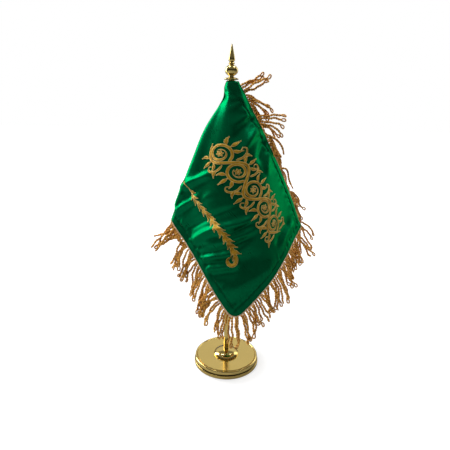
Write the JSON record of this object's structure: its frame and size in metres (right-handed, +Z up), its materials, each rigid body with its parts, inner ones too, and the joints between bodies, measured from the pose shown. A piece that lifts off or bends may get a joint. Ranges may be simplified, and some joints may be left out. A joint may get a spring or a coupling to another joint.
{
  "type": "desk flag stand",
  "caption": "Desk flag stand: weighted round base with a low dome, screwed pole and spear finial, and a sleeve-hung cloth flag with braided, fringed edges.",
  "frame": {"origin": "centre of the base underside, on the pole axis, where the stand rests on a desk", "axes": "+Z up the pole; +X to the viewer's right when facing the front of the flag; +Y away from the viewer, behind the flag"},
  "size_m": [0.2112, 0.1646, 0.4195],
  "materials": {
    "polished_gold": "polished, lacquered",
    "satin_gold": "satin spun top face with a polished rim",
    "steel": "plain machined",
    "iron_weight": "as cast, blackened",
    "felt": "pressed felt",
    "green_satin": "satin weave, soft sheen",
    "interlining": "plain stiff interlining",
    "gold_braid": "woven metallic braid",
    "gold_fringe": "twisted bullion cord",
    "gold_thread": "raised metallic thread, satin stitch"
  },
  "bodies": {
    "stand": {"base_pad": "felt", "base_flange": "polished_gold", "base_plate": "satin_gold", "base_weight": "iron_weight", "base_bush": "steel", "base_lock_ring": "steel", "foot_dome": "polished_gold"},
    "pole_screw": {"pole_stud": "steel"},
    "pole": {"pole_tube": "polished_gold", "pole_plug": "steel", "pole_cap": "steel"},
    "finial_screw": {"finial_stud": "steel"},
    "finial": {"finial_disc": "polished_gold", "finial_neck": "polished_gold", "finial_bulb": "polished_gold", "finial_bead": "polished_gold", "finial_spear": "polished_gold"},
    "flag": {"flag_sleeve": "green_satin", "flag_heading": "green_satin", "flag_cloth_front": "green_satin", "flag_interlining": "interlining", "flag_cloth_back": "green_satin", "embroidery_scroll": "gold_thread", "embroidery_flourish": "gold_thread", "braid_top": "gold_braid", "braid_fly": "gold_braid", "braid_bottom": "gold_braid", "fringe_top": "gold_fringe", "fringe_fly": "gold_fringe", "fringe_bottom": "gold_fringe"}
  },
  "joints": [
    {"name": "pole_lift", "type": "slide", "parent": "stand", "child": "pole_screw", "axis": [0, 0, 1], "range_m": [0, 0.008]},
    {"name": "pole_turn", "type": "hinge", "parent": "pole_screw", "child": "pole", "pos_m": [0, 0, 0.015], "axis": [0, 0, 1], "range_deg": [0, 3600]},
    {"name": "finial_lift", "type": "slide", "parent": "pole", "child": "finial_screw", "axis": [0, 0, 1], "range_m": [0, 0.007]},
    {"name": "finial_turn", "type": "hinge", "parent": "finial_screw", "child": "finial", "pos_m": [0, 0, 0.38], "axis": [0, 0, 1], "range_deg": [0, 3600]},
    {"name": "flag_swing", "type": "hinge", "parent": "pole", "child": "flag", "pos_m": [0, 0, 0.3], "axis": [0, 0, 1], "continuous": true}
  ],
  "couplings": [
    {"joint": "pole_turn", "follows": "pole_lift", "rad_per_m": 7853.9},
    {"joint": "finial_turn", "follows": "finial_lift", "rad_per_m": 8975.9}
  ]
}
